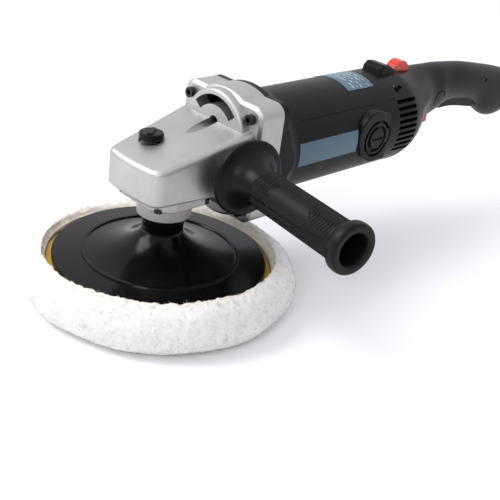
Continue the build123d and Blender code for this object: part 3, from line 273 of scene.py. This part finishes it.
def printed_label():
    """The blue label, with rows of small pale marks that stand for its print."""
    paint = Paint("label_printed", roughness=0.34)
    cloud = paint.noise(scale=30.0, detail=4.0, rough=0.5)
    blue = paint.colours(cloud, [(0.3, LABEL_DARK), (0.7, LABEL_LIGHT)])
    rows = paint.node("ShaderNodeTexWave", wave_type="BANDS", bands_direction="X")
    rows.inputs["Scale"].default_value = 62.0
    paint.link(paint.place, rows.inputs["Vector"])
    words = paint.noise(scale=1.0, detail=2.0, rough=0.5, at=paint.stretched((260, 420, 420)))
    mark = paint.maths("MULTIPLY", paint.spread(rows.outputs["Fac"], 0.0, 1.0, start=0.60, end=0.66),
                       paint.spread(words, 0.0, 1.0, start=0.50, end=0.54))
    inside = paint.maths("MULTIPLY", paint.maths("GREATER_THAN", paint.along("X"), PRINT_FROM),
                         paint.maths("LESS_THAN", paint.along("X"), PRINT_TO))
    shown = paint.maths("MULTIPLY", paint.maths("MULTIPLY", mark, inside), PRINT_STRENGTH)
    paint.colour(paint.mixed(shown, blue, PRINT_COLOUR))
    fine = paint.noise(scale=LABEL_GRAIN, detail=3.0, rough=0.6)
    paint.rough(paint.spread(fine, 0.28, 0.40))
    paint.bump(fine, strength=0.4, distance=0.00002)
    return paint.material


wool_white = wool_material()
label_printed = printed_label()

PAINTS = {
    "gear_housing": cast_aluminium, "bearing_cover": cast_aluminium, "gear_plate": cast_aluminium,
    "gear_housing_screws": screw_steel, "bearing_cover_screws": screw_steel, "handle_screws": screw_steel,
    "spindle_bearing_outer": machined_steel, "spindle_bearing_balls": machined_steel,
    "spindle_bearing_inner": machined_steel, "front_bearing_outer": machined_steel,
    "front_bearing_balls": machined_steel, "front_bearing_inner": machined_steel,
    "rear_bearing_outer": machined_steel, "rear_bearing_balls": machined_steel,
    "rear_bearing_inner": machined_steel, "trigger_pin": machined_steel,
    "side_handle_stud": machined_steel, "lock_spring": machined_steel, "spindle_shaft": machined_steel,
    "plate_insert": machined_steel, "armature_shaft": machined_steel, "spindle_bush": bronze,
    "crown_gear": gear_steel, "bevel_pinion": gear_steel, "field_core": laminated_steel,
    "armature_core": laminated_steel, "field_coils": copper, "armature_windings": copper,
    "commutator": copper, "brush_holders": brass, "brush_springs": brass, "carbon_brushes": carbon,
    "motor_housing": casing_black, "rear_handle_left": casing_black, "rear_handle_right": casing_black,
    "brush_caps": casing_black, "lock_button": casing_black, "trigger": casing_black,
    "fan_baffle": inner_plastic, "switch_body": inner_plastic, "speed_module": inner_plastic,
    "cooling_fan": inner_plastic, "cord_bush": rubber_black, "side_handle_grip": rubber_black,
    "side_label": label_blue, "top_label": label_printed, "backing_plate": plate_black,
    "hook_layer": hook_black, "pad_backing": loop_yellow, "wool_pad": wool_white,
    "lock_on_button": red_plastic, "speed_dial": red_plastic,
}
for name, material in PAINTS.items():
    mesh = nodes[name].data
    mesh.materials.clear()
    mesh.materials.append(material)


# ---------------------------------------------------------------- shapes made here
def smooth(t):
    """0 below 0, 1 above 1 and a soft step between."""
    t = np.clip(t, 0.0, 1.0)
    return t * t * (3 - 2 * t)


def through(points, count):
    """Points evenly spread in order along a smooth line through the given ones (Catmull-Rom)."""
    points = np.array(points, float)
    ends = np.vstack([2 * points[0] - points[1], points, 2 * points[-1] - points[-2]])
    short_of_last = len(points) - 1 - 1e-9
    found = []
    for where in np.linspace(0, short_of_last, count):
        first = int(where)
        t = where - first
        a, b, c, d = ends[first:first + 4]
        found.append(0.5 * (2 * b + (c - a) * t + (2 * a - 5 * b + 4 * c - d) * t**2
                            + (3 * b - a - 3 * c + d) * t**3))
    return np.array(found)


def lathe(name, grid, first_pole, last_pole, material):
    """A closed round mesh. grid is (turns, along, 3) in metres, and a pole closes each end."""
    turns, along = grid.shape[:2]
    corners = [tuple(p) for p in grid.reshape(-1, 3)] + [tuple(first_pole), tuple(last_pole)]
    start, end = turns * along, turns * along + 1
    faces = []
    for turn in range(turns):
        here, beyond = turn * along, (turn + 1) % turns * along
        faces.append((start, beyond, here))
        faces.append((end, here + along - 1, beyond + along - 1))
        for step in range(along - 1):
            faces.append((here + step, beyond + step, beyond + step + 1, here + step + 1))
    mesh = bpy.data.meshes.new(name)
    mesh.from_pydata(corners, [], faces)
    mesh.update()
    mesh.shade_smooth()
    mesh.materials.append(material)
    made = bpy.data.objects.new(name, mesh)
    scene.collection.objects.link(made)
    return made


# Wool pad: one soft ring and disc, pushed a little to one side, with clumped tufts
WOOL_TURNS = 420
WOOL_ALONG = 110
WOOL_FLOOR = 0.0003         # lowest point of the pile, in metres

FLAT_BELOW = 0.0011         # the working face stays flat under this height and inside this reach
FLAT_REACH = 0.09
SEAT_HEIGHTS = (0.0215, 0.0262)    # and so does the face that the backing lies on
SEAT_REACH = 0.0925

LUMP_SCALE, LUMP_HEIGHT = 38, 0.0011
CLUMP_SCALE, CLUMP_HEIGHT = 230, 0.00045
INNER_EDGE_REACH = 0.0985   # clumps stand out more inside this and above this height
INNER_EDGE_HEIGHT = 0.031
INNER_EDGE_CLUMPS = 2.6


def wool_section(angle):
    """The pile's outline at this angle round the spindle, as (radius, height) points in mm."""
    outer = 111.3 + 2.2 * math.cos(angle - math.radians(50))
    inner = 89.5 + 1.5 * math.cos(2 * (angle - math.radians(140)))
    crest = 35.8 + 4.6 * math.cos(angle - math.radians(250))
    working_face = [(24, 0.5), (70, 0.5), (outer - 17, 0.6)]
    outside = [(outer - 8, 2.5), (outer - 2.5, 8), (outer - 0.3, 15), (outer, 21),
               (outer - 2.2, crest - 12), (outer - 6, crest - 5.5), (outer - 12, crest - 1.2)]
    inside = [(outer - 17.5, crest), (inner + 2.6, crest - 2.0), (inner + 0.6, crest - 6),
              (inner, 29), (inner + 0.2, 26.4)]
    seat = [(92, 25.7), (92, 21.9), (60, 21.8), (24, 21.8)]
    return through(working_face + outside + inside + seat, WOOL_ALONG)


def stays_flat(height, reach):
    working_face = height < FLAT_BELOW and reach < FLAT_REACH
    return working_face or SEAT_HEIGHTS[0] < height < SEAT_HEIGHTS[1] and reach < SEAT_REACH


def wool_pad():
    turns = np.linspace(0, 2 * math.pi, WOOL_TURNS, endpoint=False)
    grid = np.zeros((WOOL_TURNS, WOOL_ALONG, 3))
    for number, angle in enumerate(turns):
        section = wool_section(angle)
        grid[number, :, 0] = section[:, 0] * math.cos(angle)
        grid[number, :, 1] = section[:, 0] * math.sin(angle)
        grid[number, :, 2] = section[:, 1]
    made = lathe("wool_pile", grid * MM, (0, 0, 0.0005), (0, 0, 0.0218), wool_white)
    mesh = made.data
    flat = np.empty(len(mesh.vertices) * 3)
    mesh.vertices.foreach_get("co", flat)
    places = flat.reshape(-1, 3).copy()
    mesh.vertices.foreach_get("normal", flat)
    normals = flat.reshape(-1, 3)
    for number, (place, normal) in enumerate(zip(places, normals)):
        reach = math.hypot(place[0], place[1])
        if stays_flat(place[2], reach):
            continue
        at = Vector(place)
        lumps = noise.fractal(at * LUMP_SCALE, 0.8, 2.2, 3) * LUMP_HEIGHT
        clumps = noise.fractal(at * CLUMP_SCALE + Vector((7, 3, 1)), 0.7, 2.3, 3) * CLUMP_HEIGHT
        if reach < INNER_EDGE_REACH and place[2] > INNER_EDGE_HEIGHT:
            clumps *= INNER_EDGE_CLUMPS
        places[number] = place + normal * (lumps + clumps)
        places[number, 2] = max(places[number, 2], WOOL_FLOOR)
    mesh.vertices.foreach_set("co", places.ravel())
    mesh.update()
    return made


TUFT_COUNT = 15000
TUFT_SEED = 11
TUFT_LENGTHS = (0.0011, 0.0024)
TUFT_WIDTHS = (0.00013, 0.00026)
TUFT_FLOOR = 0.0004
TUFT_SAG = Vector((0, 0, -0.0004))
ROOT_DEPTH = 0.0006
ROOT_SPREAD = 0.0006
TIP_SPREAD = 0.0003
SIXTY_DEGREES = (0.5, 0.87)    # its cosine and sine, for a three-sided tuft


def has_tufts(place):
    """Whether wool stands up here: not on the working face's edge, nor beside or under the plate."""
    reach = place.xy.length
    beside_plate = place.z < 0.030 and reach < 0.096
    return place.z > 0.0035 and reach > 0.0865 and not beside_plate


def tufts(base, count, seed):
    """Thin closed locks of wool that stand out of the pile, lying over the way the pile falls."""
    draw = np.random.RandomState(seed)
    grown = [face for face in base.data.polygons if has_tufts(face.center)]
    centres = [face.center.copy() for face in grown]
    normals = [face.normal.copy() for face in grown]
    areas = [face.area for face in grown]
    picks = draw.choice(len(centres), count, p=np.array(areas) / sum(areas))
    back, aside = SIXTY_DEGREES
    corners, faces = [], []
    for pick in picks:
        place, normal = centres[pick], normals[pick]
        outward = Vector((place.x, place.y, 0)).normalized()
        side = Vector((-outward.y, outward.x, 0))
        jitter = Vector(draw.normal(0, 0.25, 3))
        lie = normal * 0.30 + outward * 0.30 + side * draw.normal(0, 0.60) + jitter
        lie.normalize()
        length = draw.uniform(*TUFT_LENGTHS)
        width = draw.uniform(*TUFT_WIDTHS)
        across_one = lie.cross(side).normalized() * width
        across_two = lie.cross(across_one).normalized() * width
        root = place - normal * ROOT_DEPTH + Vector(draw.normal(0, ROOT_SPREAD, 3))
        bend = root + lie * length * 0.6
        tip = root + lie * length + TUFT_SAG + side * draw.normal(0, TIP_SPREAD)
        if min(root.z, bend.z, tip.z) < TUFT_FLOOR:
            continue
        first = len(corners)
        for centre, wide in ((root, 1.0), (bend, 0.8)):
            corners += [centre + across_one * wide,
                        centre - across_one * back * wide + across_two * aside * wide,
                        centre - across_one * back * wide - across_two * aside * wide]
        corners.append(tip)
        faces.append((first + 2, first + 1, first))
        for edge in range(3):
            after = (edge + 1) % 3
            faces.append((first + edge, first + after, first + 3 + after, first + 3 + edge))
            faces.append((first + 3 + edge, first + 3 + after, first + 6))
    mesh = bpy.data.meshes.new("wool_tufts")
    mesh.from_pydata([tuple(c) for c in corners], [], faces)
    mesh.shade_smooth()
    mesh.materials.append(wool_white)
    made = bpy.data.objects.new("wool_tufts", mesh)
    scene.collection.objects.link(made)
    return made


wool = wool_pad()
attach(wool, "spindle")
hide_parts("wool_pad")
wool_locks = tufts(wool, TUFT_COUNT, TUFT_SEED)
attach(wool_locks, "spindle")

# Side handle grip: lengthwise ribs, cross ribs and a smooth thumb patch on two sides.
# Places along it and sizes are in mm, measured out from its flange.
GRIP_LEAN = math.radians(8.9)
GRIP_START = Vector((0.03606, -0.04874, 0.11025))
GRIP_OUT = Vector((-math.sin(GRIP_LEAN), -math.cos(GRIP_LEAN), 0))
GRIP_TURNS = 396
GRIP_RADIUS = 14.4
STUD_HOLE_FLOOR = 30
END_HOLE_FLOOR = 56.5

RIBS_FROM, RIBS_TO, RIBS_FADE = 26, 112.5, 2
LONG_RIB_WIDTH, LONG_RIB_HEIGHT, LONG_RIB_NOTCHES = 1.885, 1.05, 2.8
CROSS_RIB_PITCH, CROSS_RIB_WAVE, CROSS_RIB_WAVES = 2.9, 0.9, 0.55
PANEL_HALF_WIDTH, PANEL_FADE = 9.6, 0.7
PATCH_TURN = math.radians(62)
PATCH_MIDDLE, PATCH_HALF_STRAIGHT, PATCH_RADIUS, PATCH_HEIGHT = 67, 15, 8.2, 0.75
PATCH_FADE = 0.8
GUTTER_WIDTH = 1.2


def grip_profile():
    """(distance out, radius) points in mm, from the stud hole's floor to the end hole's floor."""
    stud_hole = [(STUD_HOLE_FLOOR, 2), (STUD_HOLE_FLOOR, 4), (0.1, 4), (0.1, 10)]
    flange = [(0.1, 17), (1.2, 28.5), (1.5, 29.6), (2.1, 30.4), (3.3, 30.75), (4.4, 30.4), (5.0, 29.6)]
    neck = through([(5.0, 29.6), (5.6, 27.5), (6.4, 24.5), (10, 20.3), (16, 16.9), (24, 15.0)], 26)
    ribbed = [(s, 15.0 - 0.6 * smooth((s - 24) / 8)) for s in np.arange(24.4, 113.5, 0.42)]
    end_bead = through([(113.6, 14.4), (115.5, 15.2), (117, 17.2), (118.6, 18.9), (121, 19.5),
                        (124, 19.5), (126, 19.0), (127, 17.6), (127, 14.6), (126.6, 13.2),
                        (125.4, 12.4)], 40)
    end_hole = [(120, 12.4), (100, 12.3), (80, 12.2), (58, 12.2), (57, 11.6),
                (END_HOLE_FLOOR, 6), (END_HOLE_FLOOR, 2)]
    return np.array(stud_hole + flange + list(neck[1:]) + ribbed + list(end_bead) + end_hole, float)


def rib_height(s, turn):
    """How far a rib stands out at this distance and angle, in mm."""
    folded = (turn + math.pi / 2) % math.pi - math.pi / 2
    aside = folded * GRIP_RADIUS
    region = smooth((s - RIBS_FROM) / RIBS_FADE) * smooth((RIBS_TO - s) / RIBS_FADE)
    ridges = np.abs(np.sin(aside * math.pi / LONG_RIB_WIDTH)) ** 1.5
    notches = smooth(1.2 + 1.3 * np.sin(s * 2 * math.pi / LONG_RIB_NOTCHES))
    long_ribs = LONG_RIB_HEIGHT * ridges * notches
    wave = s + CROSS_RIB_WAVE * np.cos(aside * CROSS_RIB_WAVES)
    cross_ribs = smooth(0.5 + 0.9 * np.sin(wave * 2 * math.pi / CROSS_RIB_PITCH))
    in_panel = smooth((PANEL_HALF_WIDTH - abs(aside)) / PANEL_FADE)
    beyond = np.maximum(abs(s - PATCH_MIDDLE) - PATCH_HALF_STRAIGHT, 0)
    patch_edge = PATCH_RADIUS - np.hypot(aside, beyond)
    in_patch = smooth(patch_edge / PATCH_FADE)
    gutter = smooth((patch_edge + GUTTER_WIDTH) / PATCH_FADE)
    panel = cross_ribs * (1 - gutter) + PATCH_HEIGHT * in_patch
    return region * (long_ribs * (1 - in_panel) + panel * in_panel)


def side_grip():
    profile = grip_profile()
    upward = Vector((0, 0, 1))
    aside = GRIP_OUT.cross(upward)
    turns = np.linspace(-math.pi, math.pi, GRIP_TURNS, endpoint=False)
    grid = np.zeros((GRIP_TURNS, len(profile), 3))
    ribbed = (profile[:, 0] > 24) & (profile[:, 0] < 114) & (profile[:, 1] > 14)
    for number, turn in enumerate(turns):
        radius = profile[:, 1].copy()
        radius[ribbed] += rib_height(profile[ribbed, 0], turn - PATCH_TURN)
        sideways = math.cos(turn) * upward + math.sin(turn) * aside
        for axis in range(3):
            grid[number, :, axis] = (GRIP_START[axis] + profile[:, 0] * MM * GRIP_OUT[axis]
                                     + radius * MM * sideways[axis])
    stud_pole = GRIP_START + GRIP_OUT * STUD_HOLE_FLOOR * MM
    end_pole = GRIP_START + GRIP_OUT * END_HOLE_FLOOR * MM
    return lathe("side_grip", grid, stud_pole, end_pole, rubber_black)


# The lock button's spring (the real one shortens as the button goes down), copied onto a mesh of its own
# that keeps one length
spring = bpy.data.objects.new("lock_spring_coil", nodes["lock_spring"].data.copy())
scene.collection.objects.link(spring)
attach(spring, "tool")
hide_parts("lock_spring")
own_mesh(spring)

grip = side_grip()
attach(grip, "tool")
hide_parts("side_handle_grip")

# ---------------------------------------------------------------- floor and light
HALF_FLOOR = 60.0
FLOOR_DARK = (0.90, 0.895, 0.905)
FLOOR_LIGHT = (0.92, 0.915, 0.925)


def floor_material():
    paint = Paint("floor_white", roughness=0.6)
    cloud = paint.noise(scale=3.0, detail=3.0, rough=0.5)
    paint.colour(paint.colours(cloud, [(0.3, FLOOR_DARK), (0.7, FLOOR_LIGHT)]))
    return paint.material


floor_mesh = bpy.data.meshes.new("floor")
floor_mesh.from_pydata([(-HALF_FLOOR, -HALF_FLOOR, 0), (HALF_FLOOR, -HALF_FLOOR, 0),
                        (HALF_FLOOR, HALF_FLOOR, 0), (-HALF_FLOOR, HALF_FLOOR, 0)], [], [(0, 1, 2, 3)])
floor_mesh.materials.append(floor_material())
floor = bpy.data.objects.new("floor", floor_mesh)
scene.collection.objects.link(floor)

# The room is bright behind and above, and darker low down on the camera's side
BRIGHT_ROOM = 1.05
DARK_SIDE = 0.85
ROOM_COLOUR = (0.955, 0.945, 1.0, 1.0)
DARK_TOWARDS = (-0.55, -0.83)    # in X and Y
DARK_SHARPNESS = 2.0
DARK_FADE_UP = 1.3

world = bpy.data.worlds.new("studio")
scene.world = world
world.use_nodes = True
world_tree = world.node_tree
backdrop = world_tree.nodes["Background"]
backdrop.inputs["Color"].default_value = ROOM_COLOUR
look = world_tree.nodes.new("ShaderNodeSeparateXYZ")
world_tree.links.new(world_tree.nodes.new("ShaderNodeTexCoord").outputs["Generated"], look.inputs["Vector"])
towards = math_node(world_tree, "ADD",
                    math_node(world_tree, "MULTIPLY", look.outputs["X"], DARK_TOWARDS[0]),
                    math_node(world_tree, "MULTIPLY", look.outputs["Y"], DARK_TOWARDS[1]))
near_side = math_node(world_tree, "MULTIPLY", towards, DARK_SHARPNESS, clamp=True)
height = math_node(world_tree, "MULTIPLY", look.outputs["Z"], DARK_FADE_UP)
low_down = math_node(world_tree, "SUBTRACT", 1.0, height, clamp=True)
dimmed = math_node(world_tree, "MULTIPLY", math_node(world_tree, "MULTIPLY", near_side, low_down),
                   DARK_SIDE)
world_tree.links.new(math_node(world_tree, "SUBTRACT", BRIGHT_ROOM, dimmed), backdrop.inputs["Strength"])


def area_light(name, place, aim, side, power):
    """A square light of this side in metres and power in watts."""
    data = bpy.data.lights.new(name, "AREA")
    data.shape = "SQUARE"
    data.size = side
    data.energy = power
    made = bpy.data.objects.new(name, data)
    scene.collection.objects.link(made)
    direction = Vector(aim) - Vector(place)
    made.rotation_euler = direction.to_track_quat("-Z", "Y").to_euler()
    made.location = place


LIT_POINT = (0.1, 0.0, 0.05)
area_light("key", place=(-0.9, 0.9, 1.5), aim=LIT_POINT, side=1.0, power=24.0)
area_light("fill", place=(-1.4, -0.7, 1.0), aim=LIT_POINT, side=0.5, power=7.0)
